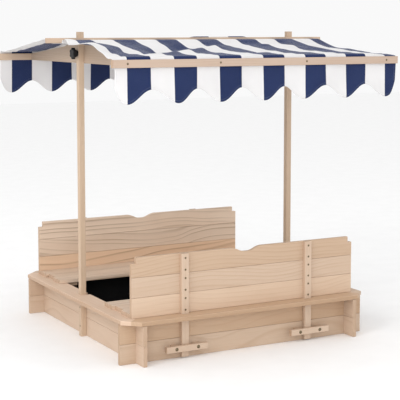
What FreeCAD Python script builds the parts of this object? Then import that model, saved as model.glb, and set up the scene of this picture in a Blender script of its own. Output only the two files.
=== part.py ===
import FreeCAD, Part
import os
from math import cos, pi, radians, sin

# Wooden sandbox with two benches and a tilting striped canopy.
# Millimetres. Origin: middle of the footprint, on the ground. +X runs along the benches,
# +Y to the back bench, +Z up.

os.makedirs("parts", exist_ok=True)
V = FreeCAD.Vector

# ---- driving dimensions ------------------------------------------------------------------
BOX = 1060.0            # outer length and width of the rim, and length of each wall board
BOARD_T = 15.0          # thickness of the planed boards
COURSE = 75.0           # height of one wall course, and pitch of every board row
SEAM = 0.6              # open seam between neighbouring boards
EDGE_R = 1.6            # rounding of a board's long edges
WALL_OUT = 466.0        # centre of the box to a wall's outer face
RIM_W = 80.0            # width of a rim plank
RIM_T = 16.0            # thickness of a rim plank
RIM_CHAMFER = 58.0      # leg of the cut-off corner of the rim
POST = 23.0             # side of a square post
HEIGHT = 1200.0         # top of the posts
SEAT_EDGE = 226.0       # centre of the box to a seat's inner edge
BENCH = 966.0           # length of seats and backrests
SEAT_RECESS = 10.0      # how far the middle seat board stops short at each end
SEAT_BATTEN_W = 50.0
BATTEN_W = 30.0         # backrest batten
BATTEN_X = 270.0        # centre of a backrest batten
BATTEN_FOOT = 4.0       # lower end of a backrest batten above the ground
STEP_W = 18.0           # step at a backrest's upper corners, which clears the posts
STEP_H = 22.0
GRIP_W = 130.0          # hand grip in a backrest's upper edge
GRIP_DROP = 17.0
KEEPER_L = 172.0        # bar that holds a batten against the wall
KEEPER_H = 24.0
KEEPER_Z = 40.0         # its centre above the ground
KEEPER_BOLT = 45.0      # bolt to batten centre
CANOPY_X = 604.0        # half length of the canopy rails
CANOPY_Y = 590.5        # centre to the outer face of a rail
RAIL_H = 28.0
RAIL_Z = 1078.5         # underside of the rails and of the gable boards
STRIP_T = 9.3           # a rail is two strips with the cloth clamped between them
CLOTH_T = 2.0
CLOTH_X = 602.0         # half width of the cloth
STRIPE = 91.5           # stripe width, and half the pitch of the scallops
SCALLOP_MID = 976.5     # middle height and swing of the scalloped lower edge
SCALLOP_SWING = 25.5
BACK_DROP = 12.0        # the back valance hangs lower
RAIL_NOSE = 13.0        # how far the cloth stands above a rail before it turns inward
RIDGE_X = 625.5         # half length of the ridge strip, which lies on the cloth
RIDGE_W = 10.0
RIDGE_H = 20.0
RIDGE_TOP = 1177.0
GABLE_KNEE = (185.0, 1142.0)    # where a gable board's top edge starts to rise to its crown
GABLE_CROWN = (62.0, 1166.0)    # half length and height of the crown, notched for the strip
TILT_Z = 1117.0         # height of the tilt bolts
KNOB_R = 22.5
KNOB_LOBES = 6
BOLT_R = 4.0
SCREW_HEAD_R = 4.0
SCREW_R = 1.9
GAP = 0.4               # clearance between pieces that only touch

WALL_IN = WALL_OUT - BOARD_T
RIM_OUT = BOX / 2
RIM_IN = RIM_OUT - RIM_W
RIM_Z = 2 * COURSE
RIM_TOP = RIM_Z + RIM_T
POST_IN = WALL_OUT
POST_OUT = WALL_OUT + POST
BACK_IN = WALL_OUT - BOARD_T + 1.0      # inner face of a backrest, clear of the seat
BACK_OUT = BACK_IN + BOARD_T
BATTEN_OUT = BACK_OUT + BOARD_T
KEEPER_IN = BATTEN_OUT + 2.0
SEAT_TOP = RIM_TOP + BOARD_T
BACK_FOOT = RIM_TOP + GAP
BACK_TOP = BACK_FOOT + 3 * COURSE - SEAM
GABLE_OUT = POST_IN - 0.5
GABLE_IN = GABLE_OUT - BOARD_T
RIDGE_BACK = -POST / 2 - 0.5
RIDGE_FRONT = RIDGE_BACK - RIDGE_W
RIDGE_Y = (RIDGE_FRONT + RIDGE_BACK) / 2
RIDGE_Z = RIDGE_TOP - RIDGE_H
RAIL_TOP = RAIL_Z + RAIL_H
CLOTH_Y = CANOPY_Y - STRIP_T - CLOTH_T / 2 - 0.1


def box(x0, x1, y0, y1, z0, z1):
    """Solid box between two corners."""
    return Part.makeBox(x1 - x0, y1 - y0, z1 - z0, V(x0, y0, z0))


def prism(points, direction):
    """Solid made by sweeping a closed polygon along a vector."""
    wire = Part.makePolygon([V(*p) for p in points] + [V(*points[0])])
    return Part.Face(wire).extrude(V(*direction))


def soften(shape, keep, radius=EDGE_R):
    """Round the straight edges that keep(edge) accepts."""
    edges = [e for e in shape.Edges if keep(e)]
    return shape.makeFillet(radius, edges)


def along(axis, length):
    """Test for edges that run along one axis for nearly a given length."""
    def test(edge):
        if edge.Curve.TypeId != "Part::GeomLine":
            return False
        a, b = edge.Vertexes[0].Point, edge.Vertexes[-1].Point
        span = abs((b - a)[axis])
        return edge.Length - span < 0.01 and span > 0.9 * length
    return test


def board_x(length, y0, y1, z0, z1):
    """Board along X with rounded long edges."""
    return soften(box(-length / 2, length / 2, y0, y1, z0, z1), along(0, length))


def screw(head, direction, length):
    """Countersunk wood screw; head is the middle of the head's flat face."""
    d = V(*direction)
    cone = Part.makeCone(SCREW_HEAD_R, SCREW_R, SCREW_HEAD_R - SCREW_R, V(*head), d)
    shank = Part.makeCylinder(SCREW_R, length, V(*head), d)
    cross = Part.makeCylinder(1.1, 1.2, V(*head), d)
    return cone.fuse(shank).cut(cross)


def screw_hole(head, direction, length):
    """Room for screw(), a hair larger, open to the face above it."""
    d = V(*direction)
    cone = Part.makeCone(SCREW_HEAD_R + 0.05, SCREW_R + 0.05, SCREW_HEAD_R - SCREW_R, V(*head), d)
    shank = Part.makeCylinder(SCREW_R + 0.05, length + 0.1, V(*head), d)
    mouth = Part.makeCylinder(SCREW_HEAD_R + 0.05, 1.0, V(*head) - d * 1.0, d)
    return cone.fuse([shank, mouth])


def mirror_x(shape):
    return shape.mirror(V(0, 0, 0), V(1, 0, 0))


def mirror_y(shape):
    return shape.mirror(V(0, 0, 0), V(0, 1, 0))


def save(name, shape):
    """Write one node; a list becomes a group of separate solids."""
    if isinstance(shape, list):
        shape = Part.makeCompound(shape)
    shape.exportStep("parts/%s.step" % name)


SIDES = (("left", -1), ("right", 1))
ENDS = (("front", -1), ("back", 1))
COURSES = (("lower", 0.0), ("upper", COURSE))


# ---- walls: two courses, cross-lapped at the corners ---------------------------------------
def lap_cutters(z0, upper, along_x):
    """Half-lap notches at both ends of a wall board."""
    half = (COURSE - SEAM) / 2
    low = z0 + half - 0.15 if upper else z0 - 1
    high = z0 + COURSE + 1 if upper else z0 + half + 0.15
    near, far = WALL_IN - 0.2, WALL_OUT + 0.2
    cuts = []
    for side in (-1, 1):
        a, b = sorted((side * near, side * far))
        if along_x:
            cuts.append(box(a, b, -RIM_OUT, RIM_OUT, low, high))
        else:
            cuts.append(box(-RIM_OUT, RIM_OUT, a, b, low, high))
    return cuts


def wall_board(z0, along_x):
    z1 = z0 + COURSE - SEAM
    board = board_x(BOX, WALL_IN, WALL_OUT, z0, z1)
    if along_x:
        return board.cut(lap_cutters(z0, False, True))
    board.rotate(V(0, 0, 0), V(0, 0, 1), -90)
    return board.cut(lap_cutters(z0, True, False))


def walls():
    for course, z0 in COURSES:
        back = wall_board(z0, True)
        right = wall_board(z0, False)
        holes = [screw_hole(*spot) for spot in post_screw_spots(1)]
        bolts = [keeper_bore(x) for x in keeper_bolt_places()]
        right = right.cut(holes)
        front = mirror_y(back).cut(bolts)
        save("wall_front_" + course, front)
        save("wall_back_" + course, mirror_y(front))
        save("wall_right_" + course, right)
        save("wall_left_" + course, mirror_x(right))


def corner_blocks():
    size = 24.0
    high = WALL_IN - GAP
    low = high - size
    for end, ey in ENDS:
        for side, sx in SIDES:
            x0, x1 = sorted((sx * low, sx * high))
            y0, y1 = sorted((ey * low, ey * high))
            block = box(x0, x1, y0, y1, 4.0, RIM_Z - SEAM)
            save("corner_block_%s_%s" % (end, side), soften(block, along(2, RIM_Z - 8)))


# ---- rim ----------------------------------------------------------------------------------
def rim_plank():
    """Plank along X at the back, mitred, with the rim's corners cut off."""
    out = RIM_OUT
    cut = RIM_CHAMFER
    mitre = 0.3
    tip = out - cut / 2
    points = [(-RIM_IN + mitre, RIM_IN, RIM_Z), (RIM_IN - mitre, RIM_IN, RIM_Z)]
    points += [(tip - mitre, tip, RIM_Z), (out - cut, out, RIM_Z)]
    points += [(cut - out, out, RIM_Z), (mitre - tip, tip, RIM_Z)]
    plank = prism(points, (0, 0, RIM_T))

    def outer(edge):
        a, b = edge.Vertexes[0].Point, edge.Vertexes[-1].Point
        flat = abs(a.z - b.z) < 0.01
        inside = max(abs(a.y), abs(b.y)) < out - 0.1 and a.z < RIM_Z + 1
        along_mitre = abs(abs(a.x) - abs(a.y)) < 1 and abs(abs(b.x) - abs(b.y)) < 1
        return flat and not along_mitre and not inside

    return plank.makeFillet(3.0, [e for e in plank.Edges if outer(e)])


def rim():
    plank = rim_plank()
    half = BATTEN_W / 2 + 1.5
    slots = []
    for sx in (-1, 1):
        mid = sx * BATTEN_X
        slots.append(box(mid - half, mid + half, BACK_OUT - 0.8, BATTEN_OUT + 1.8, RIM_Z - 1, RIM_TOP + 1))
    back = plank.cut(slots)
    save("rim_back", back)
    save("rim_front", mirror_y(back))
    right = plank.copy()
    right.rotate(V(0, 0, 0), V(0, 0, 1), -90)
    room = POST / 2 + GAP
    right = right.cut(box(RIM_IN - 1, POST_OUT + GAP, -room, room, RIM_Z - 1, RIM_TOP + 1))
    save("rim_right", right)
    save("rim_left", mirror_x(right))


# ---- posts --------------------------------------------------------------------------------
def post_screw_spots(side):
    """One screw through the post into each wall course."""
    return [((side * (POST_OUT - 0.4), 0, z0 + 0.54 * COURSE), (-side, 0, 0), 32.0)
            for _, z0 in COURSES]


def posts():
    post = box(POST_IN, POST_OUT, -POST / 2, POST / 2, 0, HEIGHT)
    post = soften(post, along(2, HEIGHT))
    bore = Part.makeCylinder(BOLT_R + 0.06, POST + 4, V(POST_IN - 2, 0, TILT_Z), V(1, 0, 0))
    holes = [screw_hole(*spot) for spot in post_screw_spots(1)]
    post = post.cut([bore] + holes)
    save("post_right", post)
    save("post_left", mirror_x(post))


# ---- benches ------------------------------------------------------------------------------
SEAT_ROWS = ("inner", "middle", "outer")
BACK_ROWS = ("lower", "middle", "upper")


def seat_screw_spots():
    """Screws up through the two battens into the three boards of the back seat."""
    x = RIM_IN - GAP - SEAT_BATTEN_W / 2
    rows = [SEAT_EDGE + (n + 0.5) * COURSE for n in range(3)]
    return [((sx * x, y, RIM_Z + 1.4), (0, 0, 1), 24.0) for sx in (-1, 1) for y in rows]


def seats():
    holes = [screw_hole(*spot) for spot in seat_screw_spots()]
    for n, row in enumerate(SEAT_ROWS):
        y0 = SEAT_EDGE + n * COURSE
        length = BENCH - 2 * SEAT_RECESS if row == "middle" else BENCH
        board = board_x(length, y0, y0 + COURSE - SEAM, RIM_TOP, SEAT_TOP).cut(holes)
        save("seat_back_" + row, board)
        save("seat_front_" + row, mirror_y(board))
    x1 = RIM_IN - GAP
    y1 = RIM_IN - GAP
    batten = box(x1 - SEAT_BATTEN_W, x1, SEAT_EDGE + 12.0, y1, RIM_Z + 1.0, RIM_TOP).cut(holes)
    for side, flip in (("right", False), ("left", True)):
        piece = mirror_x(batten) if flip else batten
        save("seat_batten_back_" + side, piece)
        save("seat_batten_front_" + side, mirror_y(piece))


def back_screw_spots():
    """Two screws per board and batten of the back bench's backrest."""
    spots = []
    for sx in (-1, 1):
        for n in range(3):
            for share in (0.19, 0.77):
                z = BACK_FOOT + (n + share) * COURSE
                spots.append(((sx * BATTEN_X, BATTEN_OUT - 0.4, z), (0, -1, 0), 27.0))
    return spots


def grip_cutter():
    """Dip in the top edge: a flat middle with round ends that run out smoothly."""
    top = BACK_TOP
    low = top - GRIP_DROP
    half = GRIP_W / 2
    flat = 8.0
    knee = (half + flat) / 2
    mid = (top + low) / 2
    a = Part.BSplineCurve()
    a.interpolate([V(-half, 0, top), V(-knee, 0, mid), V(-flat, 0, low), V(flat, 0, low),
                   V(knee, 0, mid), V(half, 0, top)],
                  Tangents=[V(1, 0, -0.15), V(1, 0, -0.5), V(1, 0, 0), V(1, 0, 0),
                            V(1, 0, 0.5), V(1, 0, 0.15)],
                  TangentFlags=[True] * 6)
    lid = Part.makePolygon([V(half, 0, top), V(half, 0, top + 5), V(-half, 0, top + 5), V(-half, 0, top)])
    wire = Part.Wire([a.toShape()] + lid.Edges)
    return Part.Face(wire).extrude(V(0, BOARD_T + 4, 0)).translated(V(0, BACK_IN - 2, 0))


def backrests():
    spots = back_screw_spots()
    holes = [screw_hole(*spot) for spot in spots]
    step = [box(sx * BENCH / 2 - STEP_W, sx * BENCH / 2 + STEP_W, BACK_IN - 1, BACK_OUT + 1,
                BACK_TOP - STEP_H, BACK_TOP + 1) for sx in (-1, 1)]
    for n, row in enumerate(BACK_ROWS):
        z0 = BACK_FOOT + n * COURSE
        board = board_x(BENCH, BACK_IN, BACK_OUT, z0, z0 + COURSE - SEAM).cut(holes)
        if row == "upper":
            board = board.cut([grip_cutter()] + step)
        save("backrest_back_" + row, board)
        save("backrest_front_" + row, mirror_y(board))
    for side, sx in SIDES:
        mid = sx * BATTEN_X
        batten = box(mid - BATTEN_W / 2, mid + BATTEN_W / 2, BACK_OUT, BATTEN_OUT, BATTEN_FOOT, BACK_TOP)
        batten = soften(batten, along(2, BACK_TOP - BATTEN_FOOT), 2.0).cut(holes)
        save("backrest_batten_back_" + side, batten)
        save("backrest_batten_front_" + side, mirror_y(batten))
    screws = [screw(*spot) for spot in spots]
    save("backrest_screws_back", screws)
    save("backrest_screws_front", [mirror_y(s) for s in screws])


def frame_screws():
    spots = seat_screw_spots()
    screws = [screw(*spot) for spot in spots]
    screws += [mirror_y(s) for s in screws]
    for side in (-1, 1):
        screws += [screw(*spot) for spot in post_screw_spots(side)]
    save("frame_screws", screws)


# ---- keepers: bolted bars that hold the backrest battens against the wall -------------------
def keeper_bolt_places():
    return [sx * BATTEN_X + dx for sx in (-1, 1) for dx in (-KEEPER_BOLT, KEEPER_BOLT)]


def keeper_bore(x):
    length = KEEPER_IN + BOARD_T - WALL_IN - 2.8
    return Part.makeCylinder(3.05, length, V(x, -KEEPER_IN - BOARD_T, KEEPER_Z), V(0, 1, 0))


def keeper_bolt(x):
    face = -KEEPER_IN - BOARD_T
    length = KEEPER_IN + BOARD_T - WALL_IN - 3.0
    shank = Part.makeCylinder(3.0, length, V(x, face, KEEPER_Z), V(0, 1, 0))
    ball = Part.makeSphere(9.0, V(x, face + 6.0, KEEPER_Z))
    dome = ball.common(box(x - 10, x + 10, face - 10, face, KEEPER_Z - 10, KEEPER_Z + 10))
    return shank.fuse(dome)


def keepers():
    bores = [keeper_bore(x) for x in keeper_bolt_places()]
    z0, z1 = KEEPER_Z - KEEPER_H / 2, KEEPER_Z + KEEPER_H / 2
    for side, sx in SIDES:
        mid = sx * BATTEN_X
        bar = box(mid - KEEPER_L / 2, mid + KEEPER_L / 2, -KEEPER_IN - BOARD_T, -KEEPER_IN, z0, z1)
        bar = soften(bar, along(0, KEEPER_L), 2.0).cut(bores)
        save("keeper_front_" + side, bar)
        save("keeper_back_" + side, mirror_y(bar))
    blocks = []
    for x in keeper_bolt_places():
        block = box(x - 12, x + 12, -KEEPER_IN, -WALL_OUT, z0 + 1, z1 - 1).cut(bores)
        blocks += [block, mirror_y(block)]
    save("keeper_spacers", blocks)
    bolts = [keeper_bolt(x) for x in keeper_bolt_places()]
    save("keeper_bolts", bolts + [mirror_y(b) for b in bolts])


# ---- ground liner: cloth tray with cut corners, which clear the corner blocks ----------------
def octagon(half, leg, z):
    pts = []
    for sx, sy, swap in ((1, 1, False), (-1, 1, True), (-1, -1, False), (1, -1, True)):
        pair = [(sx * half, sy * (half - leg), z), (sx * (half - leg), sy * half, z)]
        pts += pair[::-1] if swap else pair
    return pts


def liner():
    half = WALL_IN - 1.0
    leg = 52.0
    high = RIM_Z - 4.0
    outer = prism(octagon(half, leg, 0.0), (0, 0, high))
    inner = prism(octagon(half - CLOTH_T, leg, CLOTH_T), (0, 0, high))
    save("ground_liner", outer.cut(inner))


# ---- canopy -------------------------------------------------------------------------------
def rail_screw_spots():
    """Screws that clamp the two strips of the front rail on the cloth."""
    xs = (-550.0, -183.5, 183.5, 550.0)
    z = RAIL_Z + RAIL_H / 2
    return [((x, -CANOPY_Y + 0.4, z), (0, 1, 0), 18.0) for x in xs]


def rails():
    holes = [screw_hole(*spot) for spot in rail_screw_spots()]
    for name, y0 in (("outer", -CANOPY_Y), ("inner", -CANOPY_Y + STRIP_T + CLOTH_T + 0.2)):
        strip = board_x(2 * CANOPY_X, y0, y0 + STRIP_T, RAIL_Z, RAIL_TOP).cut(holes)
        save("rail_front_" + name, strip)
        save("rail_back_" + name, mirror_y(strip))


def ridge_screw_spots():
    """Screws down through the ridge strip and the cloth into the gable boards."""
    x = (GABLE_IN + GABLE_OUT) / 2
    return [((side * x, RIDGE_Y, RIDGE_TOP - 0.4), (0, 0, -1), 44.0) for side in (-1, 1)]


def gables():
    """Side boards: straight underside, top edge rising to a crown notched for the ridge strip."""
    end = CANOPY_Y - 2 * STRIP_T - CLOTH_T - 0.5
    x0 = -GABLE_OUT
    half = [(x0, -end, RAIL_Z), (x0, -end, RAIL_TOP - 2)]
    half += [(x0, -y, z) for y, z in (GABLE_KNEE, GABLE_CROWN)]
    outline = half + [(x, -y, z) for x, y, z in reversed(half)]
    gable = prism(outline, (BOARD_T, 0, 0))
    bore = Part.makeCylinder(BOLT_R + 0.03, BOARD_T + 2, V(x0 - 1, 0, TILT_Z), V(1, 0, 0))
    room = CLOTH_T + 0.5
    notch = box(x0 - 1, x0 + BOARD_T + 1, RIDGE_FRONT - room, RIDGE_BACK + room, RIDGE_Z - room, RIDGE_TOP)
    gable = gable.cut([bore, notch] + [screw_hole(*spot) for spot in ridge_screw_spots()])
    save("gable_left", gable)
    save("gable_right", mirror_x(gable))


def ridge():
    holes = [screw_hole(*spot) for spot in ridge_screw_spots()]
    strip = box(-RIDGE_X, RIDGE_X, RIDGE_FRONT, RIDGE_BACK, RIDGE_Z, RIDGE_TOP)
    save("ridge_strip", soften(strip, along(0, 2 * RIDGE_X)).cut(holes))
    screws = [screw(*spot) for spot in rail_screw_spots()]
    screws += [mirror_y(s) for s in screws]
    save("canopy_screws", screws + [screw(*spot) for spot in ridge_screw_spots()])


def scallop_cutter(y, mid):
    """Everything below the wavy lower edge of a valance."""
    quarter = STRIPE / 2
    count = int(2 * CLOTH_X / quarter) + 2
    xs = [(n - count / 2) * quarter for n in range(count + 1)]
    points = [V(x, y - 5, mid - SCALLOP_SWING * cos(pi * x / STRIPE)) for x in xs]
    wave = Part.BSplineCurve()
    wave.interpolate(points)
    first, last = points[0], points[-1]
    low = mid - 2 * SCALLOP_SWING
    corners = [last, V(last.x, y - 5, low), V(first.x, y - 5, low), first]
    wire = Part.Wire([wave.toShape()] + Part.makePolygon(corners).Edges)
    return Part.Face(wire).extrude(V(0, 10, 0))


def thicken(line, thick):
    """Closed outline of a band that lies to the right of an open line of (y, z) points."""
    under = []
    for n, (y, z) in enumerate(line):
        turns = []
        for a, b in zip(line[max(0, n - 1):n + 1], line[max(1, n):n + 2]):
            dy, dz = b[0] - a[0], b[1] - a[1]
            size = (dy * dy + dz * dz) ** 0.5
            turns.append((dz / size, -dy / size))
        ny = sum(t[0] for t in turns) / len(turns)
        nz = sum(t[1] for t in turns) / len(turns)
        scale = thick / (ny * ny + nz * nz)
        under.append((y + ny * scale, z + nz * scale))
    return line + under[::-1]


def canopy_cloth():
    """Roof held under the ridge strip and between the rail strips, with a valance at each end."""
    low = SCALLOP_MID - 2 * SCALLOP_SWING
    nose = RAIL_TOP + RAIL_NOSE
    face = CLOTH_Y + CLOTH_T / 2
    crown = GABLE_CROWN[1] + CLOTH_T + 0.5
    slope = [(-face, low), (-face, nose - 6), (6 - face, nose), (-450, 1122), (-300, 1138.5)]
    slope += [(-GABLE_KNEE[0], 1149), (2 - GABLE_CROWN[0], crown)]
    tuck = [(RIDGE_FRONT - CLOTH_T - 0.2, crown), (RIDGE_FRONT - 0.2, crown - 2)]
    tuck += [(RIDGE_FRONT - 0.2, RIDGE_Z - 0.2), (RIDGE_BACK + 0.2, RIDGE_Z - 0.2)]
    tuck += [(RIDGE_BACK + 0.2, crown - 2), (RIDGE_BACK + CLOTH_T + 0.2, crown)]
    line = slope + tuck + [(-y, z) for y, z in reversed(slope)]
    profile = thicken(line, CLOTH_T)
    cloth = prism([(-CLOTH_X, y, z) for y, z in profile], (2 * CLOTH_X, 0, 0))
    cuts = [scallop_cutter(-CLOTH_Y, SCALLOP_MID), scallop_cutter(CLOTH_Y, SCALLOP_MID - BACK_DROP)]
    cuts += [screw_hole(*spot) for spot in ridge_screw_spots()]
    for spot in rail_screw_spots():
        bore = Part.makeCylinder(SCREW_R + 0.05, 20, V(*spot[0]), V(*spot[1]))
        cuts += [bore, mirror_y(bore)]
    mid = (POST_IN + POST_OUT) / 2
    room = POST / 2 + 4
    for sx in (-1, 1):
        cuts.append(box(sx * mid - room, sx * mid + room, RIDGE_BACK + 0.1, 44, RAIL_TOP, RIDGE_TOP))
    save("canopy_cloth", cloth.cut(cuts))


def tilt_bolts():
    head = Part.makeSphere(11.0, V(-GABLE_IN - 7.0, 0, TILT_Z))
    keep = box(-GABLE_IN, -GABLE_IN + 10, -12, 12, TILT_Z - 12, TILT_Z + 12)
    shaft = Part.makeCylinder(BOLT_R, POST + BOARD_T + 18, V(-GABLE_IN, 0, TILT_Z), V(-1, 0, 0))
    bolt = shaft.fuse(head.common(keep))
    save("tilt_bolts", [bolt, mirror_x(bolt)])


def knob():
    """Star knob: narrow hub toward the post, lobed head, blind bore for the bolt."""
    face = -POST_OUT - GAP
    out = V(-1, 0, 0)
    hub = Part.makeCylinder(11.0, 10.0, V(face, 0, TILT_Z), out)
    lobe_r = 6.5
    ring = KNOB_R - lobe_r
    head = [Part.makeCylinder(ring + 2.0, 14.0, V(face - 10, 0, TILT_Z), out)]
    for n in range(KNOB_LOBES):
        turn = radians(30 + n * 360.0 / KNOB_LOBES)
        spot = V(face - 10, ring * cos(turn), TILT_Z + ring * sin(turn))
        head.append(Part.makeCylinder(lobe_r, 14.0, spot, out))
    body = hub.fuse(head).removeSplitter()
    rims = [e for e in body.Edges if abs(e.BoundBox.XLength) < 0.01 and e.BoundBox.XMin < face - 9]
    body = body.makeFillet(2.0, rims)
    bore = Part.makeCylinder(BOLT_R + 0.06, 19.0, V(face + 1, 0, TILT_Z), out)
    body = body.cut(bore)
    save("knob_left", body)
    save("knob_right", mirror_x(body))


walls()
corner_blocks()
rim()
posts()
seats()
backrests()
frame_screws()
keepers()
liner()
rails()
gables()
ridge()
canopy_cloth()
tilt_bolts()
knob()
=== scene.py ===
import random
from math import cos, exp, hypot, pi, radians, sin, sqrt

import bmesh
import bpy
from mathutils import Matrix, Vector, noise


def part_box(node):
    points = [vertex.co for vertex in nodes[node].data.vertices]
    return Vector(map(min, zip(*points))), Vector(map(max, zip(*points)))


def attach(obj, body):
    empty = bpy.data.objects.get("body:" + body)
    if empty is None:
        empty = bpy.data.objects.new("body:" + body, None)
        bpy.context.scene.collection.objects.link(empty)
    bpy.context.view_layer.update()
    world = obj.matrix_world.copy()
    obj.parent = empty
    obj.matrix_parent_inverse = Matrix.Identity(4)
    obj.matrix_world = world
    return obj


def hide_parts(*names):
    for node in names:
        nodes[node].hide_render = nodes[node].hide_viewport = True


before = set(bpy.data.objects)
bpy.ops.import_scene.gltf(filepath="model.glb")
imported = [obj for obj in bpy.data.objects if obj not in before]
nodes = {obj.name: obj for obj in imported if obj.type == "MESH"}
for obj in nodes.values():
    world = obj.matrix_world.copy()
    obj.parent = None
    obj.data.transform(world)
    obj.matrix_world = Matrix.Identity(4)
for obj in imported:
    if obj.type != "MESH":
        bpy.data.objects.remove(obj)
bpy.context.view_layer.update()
rnd = random.Random(7)

# ---- driving dimensions, in metres and degrees -----------------------------------------
CAMERA_PLACE = (-2.3208, -4.3799, 1.2184)
CAMERA_DOWN = 5.68
CAMERA_TURN = -28.44
FLOOR_REACH = 14
FLOOR_GAP = 0.0004

STRIPE = 0.0915
THREAD = 0.0011
SEAM_IN = 0.0085
STITCH = 0.0042
CLOTH_THICKNESS = 0.0009
CLOTH_CELL = 0.0105
CLAMP_STEP = 0.009
ROOF_STEP = 0.0100
TUCK_STEP = 0.0028
VALANCE_ROWS = 11
SLOT_ROOM = 0.0028
RIDGE_CREST = 1.1692

HEM_MIDDLE = 0.9765
HEM_SWING = 0.0255
HEM_CORNER = 0.034
BACK_HEM_DROP = 0.012

GABLE_X = 0.458
GABLE_HALF = 0.010
GABLE_FADE = 0.022
GABLE_KNEE = (0.185, 1.142)
GABLE_CROWN = (0.062, 1.166)

LINER_THICKNESS = 0.0007
LINER_LIFT = 0.0012
LINER_CORNER = 0.052


# ---- camera and light ------------------------------------------------------------------
def camera():
    data = bpy.data.cameras.new("camera")
    cam = bpy.data.objects.new("camera", data)
    bpy.context.scene.collection.objects.link(cam)
    cam.location = CAMERA_PLACE
    cam.rotation_euler = (radians(90 - CAMERA_DOWN), 0, radians(CAMERA_TURN))
    data.lens = 109.4
    data.shift_y = -0.13
    data.clip_end = 60
    bpy.context.scene.camera = cam


def area_light(name, place, aim, size, watts, tint=(1, 1, 1)):
    data = bpy.data.lights.new(name, "AREA")
    data.shape = "DISK"
    data.size = size
    data.energy = watts
    data.color = tint
    lamp = bpy.data.objects.new(name, data)
    lamp.location = place
    lamp.rotation_euler = (Vector(aim) - Vector(place)).to_track_quat("-Z", "Y").to_euler()
    bpy.context.scene.collection.objects.link(lamp)


def studio():
    scene = bpy.context.scene
    scene.view_settings.view_transform = "Standard"
    world = bpy.data.worlds.new("studio")
    world.use_nodes = True
    background = world.node_tree.nodes["Background"]
    background.inputs["Color"].default_value = (1, 1, 1, 1)
    background.inputs["Strength"].default_value = 0.95
    scene.world = world
    area_light("key", (-3.2, -5.0, 1.65), (0, 0, 0.5), 2.8, 70)
    area_light("left", (-4.4, -2.2, 3.7), (0, 0, 0.3), 2.4, 80)
    area_light("side", (4.6, -2.6, 2.2), (0, 0, 0.5), 2.5, 18)
    mesh = bpy.data.meshes.new("floor")
    far = FLOOR_REACH
    mesh.from_pydata([(-far, -far, 0), (far, -far, 0), (far, far, 0), (-far, far, 0)], [], [(0, 1, 2, 3)])
    floor = bpy.data.objects.new("floor", mesh)
    floor.location.z = -FLOOR_GAP
    scene.collection.objects.link(floor)
    sh = Shader("floor")
    grain = sh.noise(sh.coords(), 9, 3)
    sh.link(sh.ramp(grain, [(0.3, (0.95, 0.95, 0.95)), (0.7, (0.975, 0.975, 0.975))]), "Base Color")
    sh.set("Roughness", 0.9)
    floor.data.materials.append(sh.material)


# ---- shader building -------------------------------------------------------------------
class Shader:
    """A Principled material with short calls for the nodes used here."""

    def __init__(self, name):
        self.material = bpy.data.materials.new(name)
        self.material.use_nodes = True
        self.tree = self.material.node_tree
        self.bsdf = self.tree.nodes["Principled BSDF"]

    def node(self, kind, **settings):
        made = self.tree.nodes.new(kind)
        for key, value in settings.items():
            setattr(made, key, value)
        return made

    def join(self, value, socket):
        if isinstance(value, bpy.types.NodeSocket):
            self.tree.links.new(value, socket)
        else:
            socket.default_value = value

    def set(self, name, value):
        self.bsdf.inputs[name].default_value = value

    def link(self, value, name):
        self.tree.links.new(value, self.bsdf.inputs[name])

    def coords(self):
        return self.node("ShaderNodeTexCoord").outputs["Object"]

    def math(self, operation, a, b=0.0):
        made = self.node("ShaderNodeMath", operation=operation)
        self.join(a, made.inputs[0])
        self.join(b, made.inputs[1])
        return made.outputs[0]

    def plus(self, a, b):
        return self.math("ADD", a, b)

    def minus(self, a, b):
        return self.math("SUBTRACT", a, b)

    def times(self, a, b):
        return self.math("MULTIPLY", a, b)

    def length(self, value):
        made = self.node("ShaderNodeVectorMath", operation="LENGTH")
        self.join(value, made.inputs[0])
        return made.outputs["Value"]

    def split(self, value):
        made = self.node("ShaderNodeSeparateXYZ")
        self.join(value, made.inputs[0])
        return made.outputs

    def combine(self, x, y, z):
        made = self.node("ShaderNodeCombineXYZ")
        for value, socket in zip((x, y, z), made.inputs):
            self.join(value, socket)
        return made.outputs[0]

    def noise(self, vector, scale, detail=2.0, rough=0.5):
        made = self.node("ShaderNodeTexNoise")
        self.join(vector, made.inputs["Vector"])
        made.inputs["Scale"].default_value = scale
        made.inputs["Detail"].default_value = detail
        made.inputs["Roughness"].default_value = rough
        return made.outputs["Fac"]

    def ramp(self, value, stops):
        made = self.node("ShaderNodeValToRGB")
        while len(made.color_ramp.elements) < len(stops):
            made.color_ramp.elements.new(0.5)
        for element, (place, color) in zip(made.color_ramp.elements, stops):
            element.position = place
            element.color = (color, color, color, 1) if isinstance(color, float) else (*color, 1)
        self.join(value, made.inputs[0])
        return made.outputs["Color"]

    def mix(self, factor, a, b):
        made = self.node("ShaderNodeMix", data_type="RGBA")
        self.join(factor, made.inputs[0])
        for value, socket in ((a, made.inputs[6]), (b, made.inputs[7])):
            self.join((*value, 1) if isinstance(value, tuple) else value, socket)
        return made.outputs[2]

    def band(self, value, low, high):
        """0 below low, 1 above high, smooth between."""
        made = self.node("ShaderNodeMapRange", interpolation_type="SMOOTHSTEP")
        self.join(value, made.inputs["Value"])
        made.inputs["From Min"].default_value = low
        made.inputs["From Max"].default_value = high
        return made.outputs["Result"]

    def bump(self, height, distance, strength, under=None):
        """Raise the surface by height; a second bump takes the first one as under."""
        made = self.node("ShaderNodeBump")
        self.join(height, made.inputs["Height"])
        made.inputs["Distance"].default_value = distance
        made.inputs["Strength"].default_value = strength
        if under is not None:
            self.join(under, made.inputs["Normal"])
        self.link(made.outputs[0], "Normal")
        return made.outputs[0]


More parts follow.
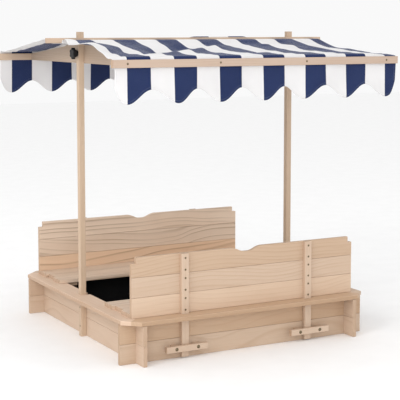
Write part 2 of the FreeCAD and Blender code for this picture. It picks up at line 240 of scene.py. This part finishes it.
# ---- wood ------------------------------------------------------------------------------
PALE = (0.585, 0.445, 0.335)
WARM = (0.405, 0.262, 0.165)
BROWN = (0.50, 0.345, 0.235)
KNOT = (0.22, 0.115, 0.06)
# painted shade colour for the rims' long side faces
PAINTED_SIDE_SHADE = (0.34, 0.205, 0.115)
SOIL = (0.46, 0.34, 0.25)
DARK_RING = (0.285, 0.185, 0.115)
BOLD_FROM = 0.6
# share of painted shade on the rims' long side faces
RIM_PAINTED_SIDE_SHADE = 0.5
# painted light: the seats are lifted for the light that the canopy's shade takes from them
SEAT_PAINTED_LIGHT = (1.26, 1.30, 1.34)
WOODEN = ("wall", "rim", "post", "seat", "backrest", "keeper", "corner", "rail", "gable", "ridge")
THIN = ("post", "rail", "ridge", "keeper", "backrest_batten", "gable")


def knots(sh, along, across, clear, shift):
    """Masks of the area round each knot and of its dark core; clear is the share of wood without."""
    spot = sh.node("ShaderNodeTexVoronoi", voronoi_dimensions="2D", feature="F1")
    cell = sh.combine(sh.times(along, 4.2), sh.times(sh.plus(across, shift), 9.5), 0.0)
    sh.join(cell, spot.inputs["Vector"])
    spot.inputs["Scale"].default_value = 1.0
    chosen = sh.math("GREATER_THAN", sh.split(spot.outputs["Color"])[0], clear)
    closeness = sh.times(spot.outputs["Distance"], -1.0)
    around = sh.times(sh.band(closeness, -0.42, -0.02), chosen)
    core = sh.times(sh.band(closeness, -0.075, -0.035), chosen)
    return around, core


def late_wood(sh, along, across, deep, around, shift, period):
    """The dark part of each ring, uneven and fading in places, and bent round the knots."""
    drift = sh.noise(sh.combine(sh.times(along, 1.5), sh.times(across, 3.0), shift[1]), 1.0)
    sway = sh.noise(sh.combine(sh.times(along, 1.1), shift[2], 0.0), 1.0, 1.0, 0.4)
    side = sh.plus(across, rnd.uniform(-0.025, 0.025))
    side = sh.plus(side, sh.times(sh.minus(drift, 0.5), 0.07))
    depth = sh.plus(deep, rnd.uniform(0.02, 0.045))
    depth = sh.plus(depth, sh.times(sh.minus(sway, 0.5), 0.14))
    radius = sh.plus(sh.length(sh.combine(0.0, side, depth)), sh.times(around, 0.014))
    uneven = sh.noise(sh.combine(sh.times(radius, 55.0), sh.times(along, 0.5), shift[0]), 1.0)
    ring = sh.math("FRACT", sh.plus(sh.math("DIVIDE", radius, period), sh.times(uneven, 2.2)))
    late = sh.ramp(ring, [(0.0, 0.05), (0.58, 0.18), (0.84, 1.0), (0.97, 0.05)])
    fade = sh.noise(sh.combine(sh.times(along, 2.2), sh.times(across, 16.0), shift[1]), 1.0)
    return sh.times(late, sh.band(fade, 0.25, 0.62))


def wood(name, grain, tone_and_light, clear, figure, period, edge):
    """Planed fir: rings round a pith outside the board, fibres along it, a few small knots."""
    sh = Shader(name)
    xyz = sh.split(sh.coords())
    order = {"x": (0, 1, 2), "y": (1, 0, 2), "z": (2, 0, 1)}[grain]
    along, across, deep = (xyz[n] for n in order)
    shift = [rnd.uniform(-3, 3), rnd.uniform(-3, 3), rnd.uniform(-3, 3)]
    along = sh.plus(along, shift[0])

    def stretched(lengthwise, crosswise, detail, rough):
        """Noise drawn out along the grain."""
        scaled = [sh.times(along, lengthwise), sh.times(across, crosswise), sh.times(deep, crosswise)]
        return sh.noise(sh.combine(*scaled), 1.0, detail, rough)

    around, core = knots(sh, along, across, clear, shift[1])
    late = late_wood(sh, along, across, deep, around, shift, period)
    fibre = stretched(5.0, 420.0, 3.0, 0.6)
    cloudy = stretched(1.6, 6.0, 3.0, 0.55)
    soil = sh.noise(sh.coords(), 14.0, 4.0, 0.6)
    facing = sh.split(sh.node("ShaderNodeTexCoord").outputs["Normal"])
    ends = sh.math("ABSOLUTE", facing[order[0]])

    # these scale the fir's colours: the board's own tone, and on some boards painted light, on others
    # painted shade
    pale, warm, brown = (tuple(c * t for c, t in zip(base, tone_and_light)) for base in (PALE, WARM, BROWN))
    color = sh.mix(sh.times(late, figure), pale, DARK_RING if figure > BOLD_FROM else warm)
    color = sh.mix(sh.times(sh.band(cloudy, 0.42, 0.75), 0.45), color, brown)
    color = sh.mix(sh.times(sh.band(fibre, 0.45, 0.85), 0.30), color, warm)
    color = sh.mix(sh.times(core, 0.75), color, KNOT)
    # painted shade: the long side faces, picked by their normals, are darkened towards a shade colour by
    # the share edge
    if edge:
        sides = sh.math("ABSOLUTE", facing[order[1]])
        color = sh.mix(sh.times(sh.band(sides, 0.6, 0.95), edge), color, PAINTED_SIDE_SHADE)
    color = sh.mix(sh.times(sh.band(ends, 0.6, 0.95), 0.55), color, WARM)
    color = sh.mix(sh.times(sh.band(soil, 0.5, 0.8), 0.10), color, SOIL)
    sh.link(color, "Base Color")
    sh.link(sh.plus(0.52, sh.times(fibre, 0.22)), "Roughness")
    sh.set("Specular IOR Level", 0.35)
    sh.bump(sh.plus(sh.times(fibre, 0.6), sh.times(late, 0.4)), 0.0004, 0.55)
    return sh.material


def grain_of(name):
    """The axis that a board's fibres run along."""
    if name.startswith(("post", "corner_block", "backrest_batten")):
        return "z"
    if name.startswith(("rim_left", "rim_right", "wall_left", "wall_right", "gable", "seat_batten")):
        return "y"
    return "x"


def paint(name, material):
    slots = nodes[name].data.materials
    slots.clear()
    slots.append(material)


# how much lighter or darker each board is drawn than plain fir, as red, green and blue: the board's own
# tone, and for some boards painted light, for others painted shade
BOARD_TONE_AND_PAINTED_LIGHT = {
    "backrest_front_upper": (0.93, 0.88, 0.82),
    "backrest_front_middle": (1.0, 0.99, 0.98),
    "backrest_front_lower": (1.10, 1.09, 1.07),
    # painted light: the back backrest's boards are lifted for the light that the canopy's shade takes from
    # them; the lower board also has a redder tone of its own
    "backrest_back_upper": (1.26, 1.31, 1.36),
    "backrest_back_middle": (1.18, 1.22, 1.26),
    "backrest_back_lower": (1.22, 1.13, 1.03),
    # painted shade: the outer rails are darkened against the key lamp's strong light on their faces
    "rail_front_outer": (0.88, 0.88, 0.92),
    "rail_back_outer": (0.88, 0.88, 0.90),
    # painted shade: the left gable is darkened for the shade under the cloth's overhang
    "gable_left": (0.86, 0.87, 0.88),
    "gable_right": (0.92, 0.92, 0.92),
    # painted shade: the front wall's upper board is darkened for the shadow under the rim
    "wall_front_upper": (0.92, 0.86, 0.78),
    "wall_front_lower": (0.98, 0.98, 0.97),
    "wall_left_upper": (1.02, 1.02, 1.02),
    "wall_left_lower": (1.04, 1.04, 1.05),
    # painted shade on the front rim, for the shadow line below it; painted light on the left rim, for the
    # light on its top
    "rim_front": (0.95, 0.88, 0.79),
    "rim_left": (1.22, 1.20, 1.20),
    "post_left": (1.0, 1.0, 0.97),
    "post_right": (0.98, 0.97, 0.94),
}


def woodwork():
    for name in sorted(nodes):
        if not name.startswith(WOODEN) or "screws" in name or "bolts" in name:
            continue
        value = 1.0 + rnd.uniform(-0.035, 0.035)
        # the table's tone, painted light and painted shade for a board, else a random tone
        tone_and_light = BOARD_TONE_AND_PAINTED_LIGHT.get(name, (value, value, value))
        # the seats get painted light in place of a tone
        if name.startswith(("seat_back_", "seat_front_")):
            tone_and_light = SEAT_PAINTED_LIGHT
        thin = name.startswith(THIN)
        bold = name.startswith(("backrest_back", "seat")) and "batten" not in name
        figure, period = (0.75, 0.0150) if bold else (0.28, 0.0090) if thin else (0.36, 0.0095)
        # the rims get painted shade on their long side faces
        edge = RIM_PAINTED_SIDE_SHADE if name.startswith("rim") else 0.0
        paint(name, wood("fir_" + name, grain_of(name), tone_and_light, 1.1 if thin else 0.86, figure, period, edge))


# ---- metal and plastic -----------------------------------------------------------------
def zinc():
    sh = Shader("zinc_plate")
    speck = sh.noise(sh.coords(), 900.0, 3.0)
    sh.link(sh.ramp(speck, [(0.35, (0.13, 0.10, 0.06)), (0.65, (0.24, 0.19, 0.12))]), "Base Color")
    sh.set("Metallic", 1.0)
    sh.link(sh.plus(0.3, sh.times(sh.noise(sh.coords(), 240.0), 0.3)), "Roughness")
    sh.bump(speck, 0.0002, 0.3)
    return sh.material


def black_plastic():
    sh = Shader("black_plastic")
    mottle = sh.noise(sh.coords(), 60.0, 3.0)
    sh.link(sh.ramp(mottle, [(0.3, (0.006, 0.006, 0.0065)), (0.7, (0.012, 0.012, 0.0125))]), "Base Color")
    sh.set("Specular IOR Level", 0.25)
    sh.link(sh.plus(0.38, sh.times(mottle, 0.2)), "Roughness")
    sh.bump(sh.noise(sh.coords(), 1800.0), 0.0002, 0.35)
    return sh.material


def hardware():
    steel = zinc()
    plastic = black_plastic()
    for name in nodes:
        if "screws" in name or "bolts" in name:
            paint(name, steel)
        if name.startswith("knob"):
            paint(name, plastic)


# ---- canopy cloth ----------------------------------------------------------------------
# the roof's plain profile between the rails, as (y, z)
FRONT_SLOPE = [(-0.53, 1.1186), (-0.45, 1.1228), (-0.37, 1.1286), (-0.30, 1.1358), (-0.185, 1.1482),
               (-0.11, 1.1592), (-0.064, 1.1682), (-0.044, RIDGE_CREST)]
BACK_SLOPE = [(0.064, 1.1668), (0.11, 1.1608), (0.185, 1.1518), (0.30, 1.1375), (0.42, 1.1235),
              (0.52, 1.1140)]

# how far each front scallop tip is out of step, as (x, shift)
FRONT_TIPS = [(-0.366, 0.016), (-0.183, 0.005), (0.0, 0.004), (0.183, -0.008), (0.366, -0.005),
              (0.549, 0.004)]

# creases and ridges of the loose cloth, as start, end, width and height
FRONT_FOLDS = [
    ((0.36, -0.112), (-0.10, -0.150), 0.036, -0.0050),
    ((-0.14, -0.185), (-0.28, -0.275), 0.050, -0.0150),
    ((-0.32, -0.325), (-0.44, -0.372), 0.036, -0.0085),
    ((0.01, -0.213), (-0.10, -0.285), 0.026, 0.0085),
    ((-0.13, -0.315), (-0.27, -0.415), 0.028, 0.0080),
    ((-0.30, -0.44), (-0.40, -0.50), 0.028, 0.0040),
    ((-0.56, -0.455), (-0.42, -0.385), 0.034, -0.0085),
    ((0.07, -0.405), (0.20, -0.455), 0.030, -0.0030),
    ((0.30, -0.245), (0.44, -0.310), 0.040, -0.0035),
    ((0.26, -0.16), (0.36, -0.215), 0.026, 0.0055),
]
BACK_FOLDS = [
    ((-0.01, 0.060), (0.26, 0.060), 0.024, 0.0040),
    ((-0.30, 0.16), (-0.12, 0.30), 0.045, -0.0090),
    ((0.16, 0.14), (0.34, 0.34), 0.045, -0.0085),
    ((-0.02, 0.22), (0.14, 0.40), 0.035, 0.0055),
    ((-0.44, 0.24), (-0.34, 0.42), 0.035, 0.0050),
]

# round bulges and hollows, as centre, radii and height
FRONT_DUNES = [
    ((-0.61, -0.375), (0.10, 0.105), 0.0310),
    ((-0.55, -0.26), (0.060, 0.080), 0.0140),
    ((-0.60, -0.108), (0.080, 0.047), 0.0120),
    ((-0.46, -0.305), (0.060, 0.045), 0.0130),
    ((-0.62, -0.540), (0.110, 0.035), -0.0080),
    ((0.60, -0.190), (0.085, 0.085), -0.0105),
    ((0.61, -0.440), (0.120, 0.110), -0.0060),
]
BACK_DUNES = [((0.56, 0.27), (0.075, 0.095), 0.0130)]


def ease(low, high, value):
    """0 below low, 1 above high, smooth between."""
    t = min(1.0, max(0.0, (value - low) / (high - low)))
    return t * t * (3 - 2 * t)


def smooth_line(points, step):
    """Even points along a centripetal curve through the given (y, z) points."""
    pts = [Vector((*p, 0)) for p in points]
    pts = [pts[0] * 2 - pts[1]] + pts + [pts[-1] * 2 - pts[-2]]
    dense = []
    for a, b, c, d in zip(pts, pts[1:], pts[2:], pts[3:]):
        t0 = 0.0
        t1 = t0 + sqrt((b - a).length)
        t2 = t1 + sqrt((c - b).length)
        t3 = t2 + sqrt((d - c).length)
        for n in range(24):
            t = t1 + (t2 - t1) * n / 24
            a1 = a.lerp(b, (t - t0) / (t1 - t0))
            a2 = b.lerp(c, (t - t1) / (t2 - t1))
            a3 = c.lerp(d, (t - t2) / (t3 - t2))
            b1 = a1.lerp(a2, (t - t0) / (t2 - t0))
            b2 = a2.lerp(a3, (t - t1) / (t3 - t1))
            dense.append(b1.lerp(b2, (t - t1) / (t2 - t1)))
    dense.append(pts[-2])
    length = [0.0]
    for a, b in zip(dense, dense[1:]):
        length.append(length[-1] + (b - a).length)
    count = max(1, round(length[-1] / step))
    out, k = [], 0
    for n in range(count + 1):
        s = length[-1] * n / count
        while k < len(length) - 2 and length[k + 1] < s:
            k += 1
        t = (s - length[k]) / max(1e-9, length[k + 1] - length[k])
        p = dense[k].lerp(dense[k + 1], t)
        out.append((p.x, p.y, s))
    return out


def fold(x, y, start, end, width, height):
    """A rounded crease or ridge along a segment, fading out past its ends."""
    a, b, p = Vector(start), Vector(end), Vector((x, y))
    run = b - a
    t = (p - a).dot(run) / run.length_squared
    away = (p - a - run * min(1.0, max(0.0, t))).length
    return height * exp(-((away / width) ** 2))


def dune(x, y, centre, radii, height):
    """A round bulge, or a hollow where height is negative."""
    return height * exp(-(((x - centre[0]) / radii[0]) ** 2) - ((y - centre[1]) / radii[1]) ** 2)


def add_vertex(bm, flat, place, x, s):
    """A vertex at place, which is at (x, s) on the flat sheet."""
    vertex = bm.verts.new(place)
    vertex[flat] = (x, s, 0.0)
    return vertex


class Canopy:
    """The cloth as one sheet, from the front valance over the roof to the back valance.

    It is clamped in both rails, and tucked under the ridge strip.
    """

    def __init__(self):
        self.outer = {end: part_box("rail_%s_outer" % end) for end in ("front", "back")}
        self.inner = {end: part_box("rail_%s_inner" % end) for end in ("front", "back")}
        self.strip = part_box("ridge_strip")
        self.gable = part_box("gable_left")
        post_lo, post_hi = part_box("post_right")
        self.slot = (post_lo.x - SLOT_ROOM, post_hi.x + SLOT_ROOM)
        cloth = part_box("canopy_cloth")
        self.half = cloth[1].x
        self.rail_y = {"front": (self.outer["front"][1].y + self.inner["front"][0].y) / 2,
                       "back": (self.outer["back"][0].y + self.inner["back"][1].y) / 2}
        self.rail_low = self.outer["front"][0].z
        self.rail_top = self.outer["front"][1].z

    def hem(self, x, end):
        """Height of the scalloped lower edge."""
        slip = 0.0
        if end == "front":
            slip = sum(d * exp(-(((x - tip) / 0.07) ** 2)) for tip, d in FRONT_TIPS)
        z = HEM_MIDDLE - HEM_SWING * cos(pi * (x - slip) / STRIPE) - (BACK_HEM_DROP if end == "back" else 0)
        return z + HEM_CORNER * ease(self.half - 0.03, self.half + 0.004, abs(x)) ** 2

    def gable_top(self, y):
        """Upper edge of a gable board, without its notch."""
        y = abs(y)
        end, foot = self.gable[1].y, self.rail_top - 0.002
        knee, knee_z = GABLE_KNEE
        crown, crown_z = GABLE_CROWN
        if y > knee:
            return foot + (knee_z - foot) * (end - y) / (end - knee)
        if y > crown:
            return knee_z + (crown_z - knee_z) * (knee - y) / (knee - crown)
        return crown_z

    def rows(self):
        """Profile rows as (part, y, z, s), and the flat length of them all.

        part names the stretch that a row is in, and s is its flat distance from the front rail's foot.
        """
        lo, hi = self.strip
        foot, top, crest = self.rail_low, self.rail_top, RIDGE_CREST
        front, back = self.rail_y["front"], self.rail_y["back"]
        skin = CLOTH_THICKNESS
        turn_down = (lo.y - skin, crest - 0.0045)
        turn_up = (hi.y + skin, crest - 0.0045)
        behind_posts = (0.044, crest - 0.0006)
        stretches = [
            ("clamp_front", [(front, foot), (front, top)], CLAMP_STEP),
            ("front", [(front, top), (front + 0.0004, top + 0.0058), (front + 0.005, top + 0.0098),
                       *FRONT_SLOPE, (lo.y - 0.009, crest), (lo.y - 0.0028, crest - 0.0016),
                       turn_down], ROOF_STEP),
            ("tuck", [turn_down, (lo.y - skin, lo.z + 0.001), (lo.y + 0.001, lo.z - skin),
                      (hi.y - 0.001, lo.z - skin), (hi.y + skin, lo.z + 0.001), turn_up], TUCK_STEP),
            ("slot", [turn_up, (hi.y + 0.0028, crest - 0.0016), (hi.y + 0.009, crest),
                      (0.028, crest + 0.0012), behind_posts], ROOF_STEP),
            ("back", [behind_posts, *BACK_SLOPE, (back - 0.005, top + 0.0105), (back - 0.0004, top + 0.006),
                      (back, top)], ROOF_STEP),
            ("clamp_back", [(back, top), (back, foot)], CLAMP_STEP),
        ]
        out, s = [], 0.0
        for part, points, step in stretches:
            line = smooth_line(points, step)
            for y, z, along in line if not out else line[1:]:
                out.append((part, y, z, s + along))
            s += line[-1][2]
        return out, s

    def lift(self, x, y):
        """Loose folds of the roof, as heights over the plain profile."""
        if y < 0:
            z = -0.0058 * sin(pi * min(1.0, max(0.0, (-y - 0.05) / 0.42))) * ease(-0.53, -0.43, x)
            away = max(0.0, (-y - 0.055) / 0.5)
            folds, dunes = FRONT_FOLDS, FRONT_DUNES
        else:
            z = -0.0035 * sin(pi * min(1.0, max(0.0, (y - 0.05) / 0.52))) * ease(-0.46, -0.34, x)
            z += 0.0045 * (1 - ease(-0.58, -0.42, x))
            away = max(0.0, (y - 0.02) / 0.5)
            folds, dunes = BACK_FOLDS, BACK_DUNES
        z += sum(fold(x, y, *shape) for shape in folds)
        z += sum(dune(x, y, *shape) for shape in dunes)
        ripple = noise.noise(Vector((x * 9 + y * 4, y * 15 - x * 6, 1.7)))
        fine = noise.noise(Vector((x * 26 + y * 10, y * 38 - x * 12, 5.1)))
        calm = ease(0.0, 0.12, away) * (1 - ease(0.9, 1.02, away))
        z *= ease(0.0, 0.07, away) * (1 - ease(0.94, 1.03, away))
        return z + (0.0030 * ripple + 0.0010 * fine) * calm

    def roof(self, x, y, z):
        """Where a point of the plain roof ends up."""
        mid = (self.strip[0].y + self.strip[1].y) / 2
        up = z + self.lift(x, y)
        board = max(0.0, 1 - max(0.0, abs(abs(x) - GABLE_X) - GABLE_HALF) / GABLE_FADE)
        floor_z = self.gable_top(y) + 0.0014
        if board > 0 and up < floor_z and abs(y - mid) > 0.012:
            up += (floor_z - up) * min(1.0, board * 1.3)
        ends = ease(0.46, 0.60, x) + 1 - ease(-0.60, -0.55, x)
        up -= 0.0078 * ends * exp(-(((y + 0.572) / 0.045) ** 2))
        if y > mid:
            along = ease(-0.03, 0.03, x) * (1 - ease(0.255, 0.30, x))
            up += 0.0115 * exp(-(((y - 0.004) / 0.017) ** 2)) * along
        return Vector((x - self.pull(x, y), y, up))

    def pull(self, x, y):
        """How far the sides of the front slope are drawn in where they meet the ridge strip."""
        near = min(1.0, max(0.0, (self.strip[1].y - y) / 0.010)) * min(1.0, max(0.0, (y + 0.19) / 0.16))
        return (0.014 if x > 0 else -0.040) * near * ease(0.50, self.half, abs(x))

    def valance(self, x, depth, end):
        """Sideways swing of a hanging valance; depth is 0 at the rail and 1 at the hem."""
        side = -1 if end == "front" else 1
        phase = 0.6 if end == "front" else 2.3
        swing = 0.0042 * sin(2 * pi * x / (2 * STRIPE) + phase)
        swing += 0.0068 * noise.noise(Vector((x * 7, phase, 0.3)))
        swing += 0.0016 * noise.noise(Vector((x * 23, depth * 2.2, phase)))
        curl = 0.006 * ease(self.half - 0.06, self.half, abs(x))
        return side * (swing * depth ** 1.25 + 0.003 * depth - curl * depth)

    def columns(self):
        """Even places across the cloth, with the nearest ones moved to the edges of the post slots."""
        count = 2 * round(self.half / CLOTH_CELL)
        xs = [-self.half + 2 * self.half * n / count for n in range(count + 1)]
        for want in (self.slot[0], self.slot[1], -self.slot[0], -self.slot[1]):
            near = min(range(len(xs)), key=lambda n: abs(xs[n] - want))
            xs[near] = want
        return xs

    def hanging(self, bm, flat, xs, end, base_s, way):
        """Rows of a valance, from its hem up to just below the rail's foot."""
        made = []
        low = self.rail_low
        for n in range(VALANCE_ROWS, 0, -1):
            depth = n / VALANCE_ROWS
            line = []
            for x in xs:
                z = low - (low - self.hem(x, end)) * depth
                y = self.rail_y[end] + self.valance(x, depth, end)
                tuck = 0.0
                if end == "front":
                    tuck = 0.010 * ease(-0.54, -self.half, x) * (0.75 + 0.25 * depth)
                line.append(add_vertex(bm, flat, (x + tuck, y, z), x, base_s + way * (low - z)))
            made.append(line)
        return made

    def roof_row(self, bm, flat, xs, row):
        """One row of the sheet between the two valances."""
        part, y, z, s = row
        line = []
        for x in xs:
            place = Vector((x, y, z))
            if part in ("front", "slot", "back"):
                place = self.roof(x, y, z)
            elif part == "tuck":
                place.x -= self.pull(x, y)
            line.append(add_vertex(bm, flat, place, x, s))
        return line

    def build(self):
        """The cloth object, its flat width and length, and its flat area."""
        rows, total = self.rows()
        xs = self.columns()
        bm = bmesh.new()
        flat = bm.verts.layers.float_vector.new("flat")
        grid = self.hanging(bm, flat, xs, "front", 0.0, -1)
        slot_rows = [len(grid) + n for n, row in enumerate(rows) if row[0] == "slot"]
        grid += [self.roof_row(bm, flat, xs, row) for row in rows]
        grid += reversed(self.hanging(bm, flat, xs, "back", total, 1))
        for r, (below, above) in enumerate(zip(grid, grid[1:])):
            beside_posts = slot_rows[0] - 1 <= r < slot_rows[-1]
            for c in range(len(xs) - 1):
                mid = (xs[c] + xs[c + 1]) / 2
                if beside_posts and self.slot[0] < abs(mid) < self.slot[1]:
                    continue
                bm.faces.new((below[c], below[c + 1], above[c + 1], above[c]))
        self.edge_distance(bm, flat)
        mesh = bpy.data.meshes.new("striped_cloth")
        area = sum(self.flat_area(f, flat) for f in bm.faces)
        bm.to_mesh(mesh)
        bm.free()
        mesh.shade_smooth()
        cloth = bpy.data.objects.new("striped_cloth", mesh)
        bpy.context.scene.collection.objects.link(cloth)
        length = total + (self.rail_low - self.hem(0, "front")) + (self.rail_low - self.hem(0, "back"))
        return cloth, (2 * self.half, length), area

    @staticmethod
    def flat_area(face, flat):
        pts = [v[flat] for v in face.verts]
        a, b, c, d = (Vector((p[0], p[1])) for p in pts)
        return abs((c - a).cross(d - b)) / 2

    def edge_distance(self, bm, flat):
        """Third value of flat: distance to the nearest edge of the sheet, up to 30 mm."""
        edge = [v for v in bm.verts if v.is_boundary]
        cell = 0.03
        near = {}
        for v in edge:
            key = (int(v[flat][0] // cell), int(v[flat][1] // cell))
            near.setdefault(key, []).append((v[flat][0], v[flat][1]))
        for v in bm.verts:
            x, s, _ = v[flat]
            best = cell
            kx, ks = int(x // cell), int(s // cell)
            for i in (-1, 0, 1):
                for j in (-1, 0, 1):
                    for ex, es in near.get((kx + i, ks + j), ()):
                        best = min(best, hypot(ex - x, es - s))
            v[flat] = (x, s, best)


def striped_fabric():
    """Plain weave polyester, dark blue and white stripes, with a stitched hem."""
    sh = Shader("striped_fabric")
    spread = sh.node("ShaderNodeAttribute", attribute_name="flat").outputs["Vector"]
    x, s, edge = sh.split(spread)
    shaky = sh.times(sh.minus(sh.noise(spread, 260.0), 0.5), 0.0010)
    turn = sh.math("FRACT", sh.math("DIVIDE", sh.plus(x, shaky), 2 * STRIPE))
    blue = sh.minus(1.0, sh.band(sh.math("ABSOLUTE", sh.minus(turn, 0.25)), 0.2455, 0.2545))
    warp, weft = (sh.math("SINE", sh.times(way, 2 * pi / THREAD)) for way in (x, s))
    weave = sh.times(warp, weft)
    cloudy = sh.noise(spread, 7.0, 3.0)
    slub = sh.noise(sh.combine(sh.times(x, 30.0), sh.times(s, 700.0), 0.0), 1.0)
    navy = sh.ramp(cloudy, [(0.3, (0.014, 0.026, 0.088)), (0.7, (0.019, 0.033, 0.103))])
    white = sh.ramp(cloudy, [(0.3, (0.69, 0.68, 0.68)), (0.7, (0.74, 0.73, 0.73))])
    color = sh.mix(blue, white, navy)
    thread = sh.plus(sh.times(weave, 0.045), sh.times(sh.band(slub, 0.55, 0.9), 0.07))
    color = sh.mix(sh.math("MAXIMUM", thread, 0.0), color, (0.30, 0.31, 0.36))
    seam = sh.minus(1.0, sh.band(sh.math("ABSOLUTE", sh.minus(edge, SEAM_IN)), 0.0003, 0.0010))
    dash = sh.math("GREATER_THAN", sh.math("FRACT", sh.math("DIVIDE", sh.plus(x, s), STITCH)), 0.35)
    stitch = sh.times(seam, dash)
    color = sh.mix(sh.times(stitch, 0.22), color, (0.42, 0.43, 0.47))
    worn = sh.minus(1.0, sh.band(edge, 0.0004, 0.0026))
    color = sh.mix(sh.times(worn, 0.10), color, (0.5, 0.5, 0.52))
    sh.link(color, "Base Color")
    sh.link(sh.plus(0.62, sh.times(cloudy, 0.2)), "Roughness")
    sh.set("Subsurface Weight", 0.45)
    sh.set("Subsurface Radius", (1.0, 1.0, 1.0))
    sh.set("Subsurface Scale", 0.002)
    sh.set("Sheen Weight", 0.20)
    sh.set("Sheen Roughness", 0.3)
    sh.set("Specular IOR Level", 0.12)
    hem = sh.band(edge, 0.0095, 0.0080)
    folded = sh.bump(sh.plus(hem, sh.times(stitch, -0.6)), 0.0007, 0.8)
    sh.bump(weave, 0.00018, 0.5, folded)
    return sh.material


def canopy():
    cloth, flat, area = Canopy().build()
    cloth.data.materials.append(striped_fabric())
    smooth = cloth.modifiers.new("smooth", "SUBSURF")
    smooth.levels = smooth.render_levels = 1
    thick = cloth.modifiers.new("thickness", "SOLIDIFY")
    thick.thickness = CLOTH_THICKNESS
    thick.offset = 0.0
    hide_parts("canopy_cloth")
    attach(cloth, "canopy")


# ---- ground liner ----------------------------------------------------------------------
def liner_fabric():
    sh = Shader("liner_fabric")
    spun = sh.noise(sh.coords(), 700.0, 3.0)
    cloudy = sh.noise(sh.coords(), 6.0, 3.0)
    color = sh.mix(sh.band(cloudy, 0.3, 0.75), (0.010, 0.010, 0.011), (0.017, 0.017, 0.018))
    color = sh.mix(sh.times(sh.band(spun, 0.5, 0.8), 0.35), color, (0.035, 0.035, 0.037))
    sh.link(color, "Base Color")
    sh.link(sh.plus(0.75, sh.times(spun, 0.2)), "Roughness")
    sh.set("Specular IOR Level", 0.2)
    sh.bump(spun, 0.0006, 0.6)
    return sh.material


def liner_outline(half):
    """A square with cut corners, as points (x, y) in order."""
    run = half - LINER_CORNER
    per_side, per_corner = 110, 9
    outline = []
    for c, s in ((1, 0), (0, 1), (-1, 0), (0, -1)):
        for n in range(per_side):
            t = -run + 2 * run * n / per_side
            outline.append((half * c - t * s, half * s + t * c))
        for n in range(per_corner):
            t = LINER_CORNER * n / per_corner
            outline.append(((half - t) * c - (run + t) * s, (half - t) * s + (run + t) * c))
    return outline


def liner_floor(x, y, k):
    """Height of the liner's floor at a share k of the way out: lumps and creases, flat at the wall."""
    lumps = 0.0035 * max(0.0, noise.noise(Vector((x * 8, y * 8, 0.4))))
    creases = 0.004 * max(0.0, noise.noise(Vector((x * 3 - y * 5, y * 19 + x * 3, 3.1))) - 0.12)
    return LINER_LIFT + (lumps + creases) * (1 - ease(0.93, 1.0, k))


def ground_liner():
    """A loose sheet laid in the box and turned up its walls, creased, with cut corners."""
    _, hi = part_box("ground_liner")
    half, top = hi.x - 0.0012, hi.z - 0.001
    outline = liner_outline(half)
    bm = bmesh.new()
    rows = []
    floor_rows, wall_rows = 56, 16
    for n in range(1, floor_rows + 1):
        k = n / floor_rows
        rows.append([bm.verts.new((x * k, y * k, liner_floor(x * k, y * k, k))) for x, y in outline])
    for n in range(1, wall_rows + 1):
        k = n / wall_rows
        line = []
        for m, (px, py) in enumerate(outline):
            dip = 0.004 + 0.0045 * noise.noise(Vector((px * 11, py * 11, k * 2.6)))
            dip = max(0.0004, dip) * sin(pi * min(1.0, k * 1.02)) if k < 0.98 else 0.0004
            keep = 1 - dip / half
            sag = 0.0035 * (0.5 + 0.5 * sin(m * 2 * pi / 27.0)) * ease(0.6, 1.0, k)
            line.append(bm.verts.new((px * keep, py * keep, LINER_LIFT + (top - LINER_LIFT) * k - sag)))
        rows.append(line)
    for a, b in zip(rows, rows[1:]):
        for n in range(len(outline)):
            m = (n + 1) % len(outline)
            bm.faces.new((a[n], a[m], b[m], b[n]))
    bm.faces.new(list(reversed(rows[0])))
    bmesh.ops.recalc_face_normals(bm, faces=bm.faces)
    area = sum(f.calc_area() for f in bm.faces)
    mesh = bpy.data.meshes.new("liner_sheet")
    bm.to_mesh(mesh)
    bm.free()
    mesh.shade_smooth()
    sheet = bpy.data.objects.new("liner_sheet", mesh)
    bpy.context.scene.collection.objects.link(sheet)
    sheet.data.materials.append(liner_fabric())
    thick = sheet.modifiers.new("thickness", "SOLIDIFY")
    thick.thickness = LINER_THICKNESS
    thick.offset = 0.0
    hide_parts("ground_liner")
    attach(sheet, "sandbox")


camera()
studio()
woodwork()
hardware()
canopy()
ground_liner()
